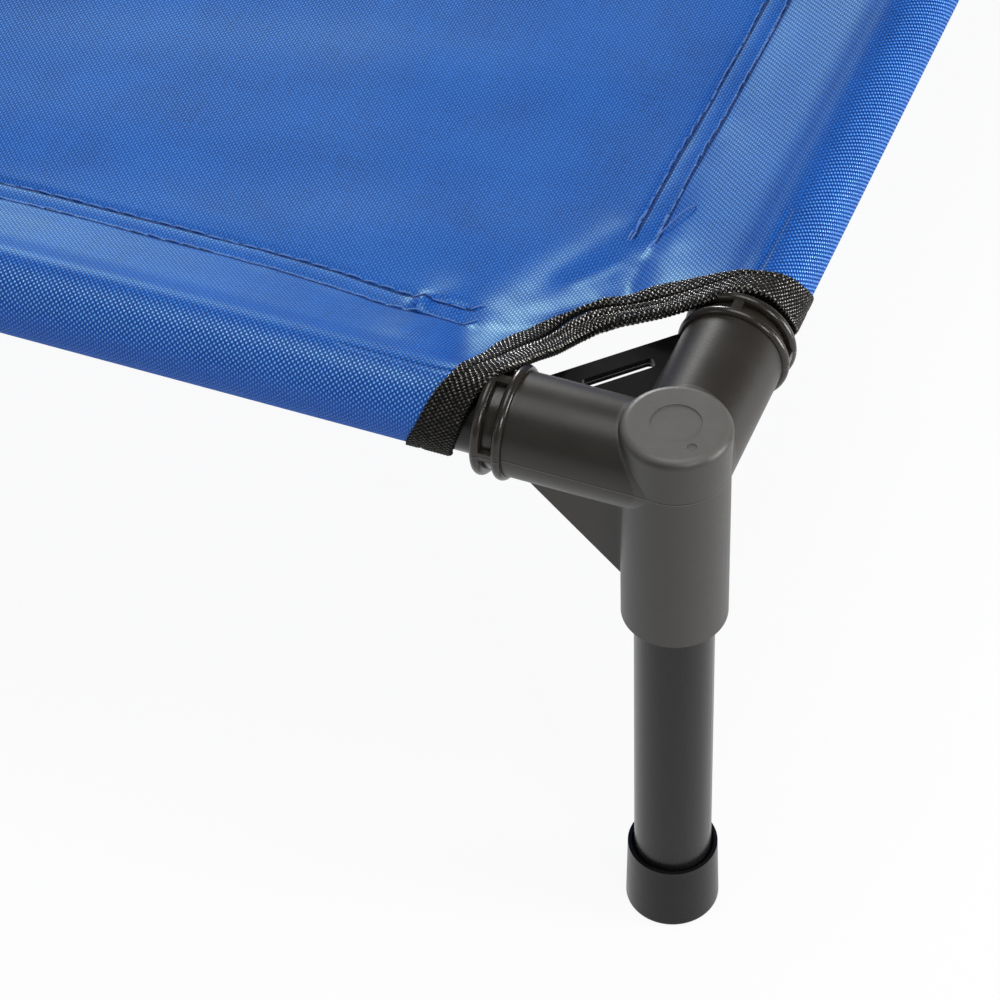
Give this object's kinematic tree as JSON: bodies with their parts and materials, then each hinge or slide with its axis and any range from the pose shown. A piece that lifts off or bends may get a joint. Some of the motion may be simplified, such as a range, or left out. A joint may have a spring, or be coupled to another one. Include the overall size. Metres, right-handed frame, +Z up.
{
  "type": "raised dog cot",
  "caption": "Raised dog cot: taut cloth bed sleeved over a push-fit steel tube frame, with moulded three-way corner joints, short legs and rubber foot caps.",
  "frame": {"origin": "on the floor under the middle of the cot", "axes": "+X along the long rails, +Y towards the back, +Z up"},
  "size_m": [0.9016, 0.6016, 0.2193],
  "materials": {
    "moulded_joint": "dark grey moulded plastic, satin, with a fine parting line",
    "painted_tube": "dark grey satin paint on steel tube",
    "rubber_foot": "dark grey rubber, matt",
    "bed_cloth": "blue plain-woven polyester",
    "binding_tape": "black coarse-woven tape"
  },
  "bodies": {
    "root": {"corner_joint_front_right": "moulded_joint", "corner_joint_front_left": "moulded_joint", "corner_joint_back_left": "moulded_joint", "corner_joint_back_right": "moulded_joint", "leg_front_right": "painted_tube", "leg_front_left": "painted_tube", "leg_back_left": "painted_tube", "leg_back_right": "painted_tube", "foot_cap_front_right": "rubber_foot", "foot_cap_front_left": "rubber_foot", "foot_cap_back_left": "rubber_foot", "foot_cap_back_right": "rubber_foot", "long_rail_front": "painted_tube", "long_rail_back": "painted_tube", "short_rail_left": "painted_tube", "short_rail_right": "painted_tube", "bed_cloth": "bed_cloth", "binding_front_right": "binding_tape", "binding_front_left": "binding_tape", "binding_back_left": "binding_tape", "binding_back_right": "binding_tape"}
  },
  "joints": []
}
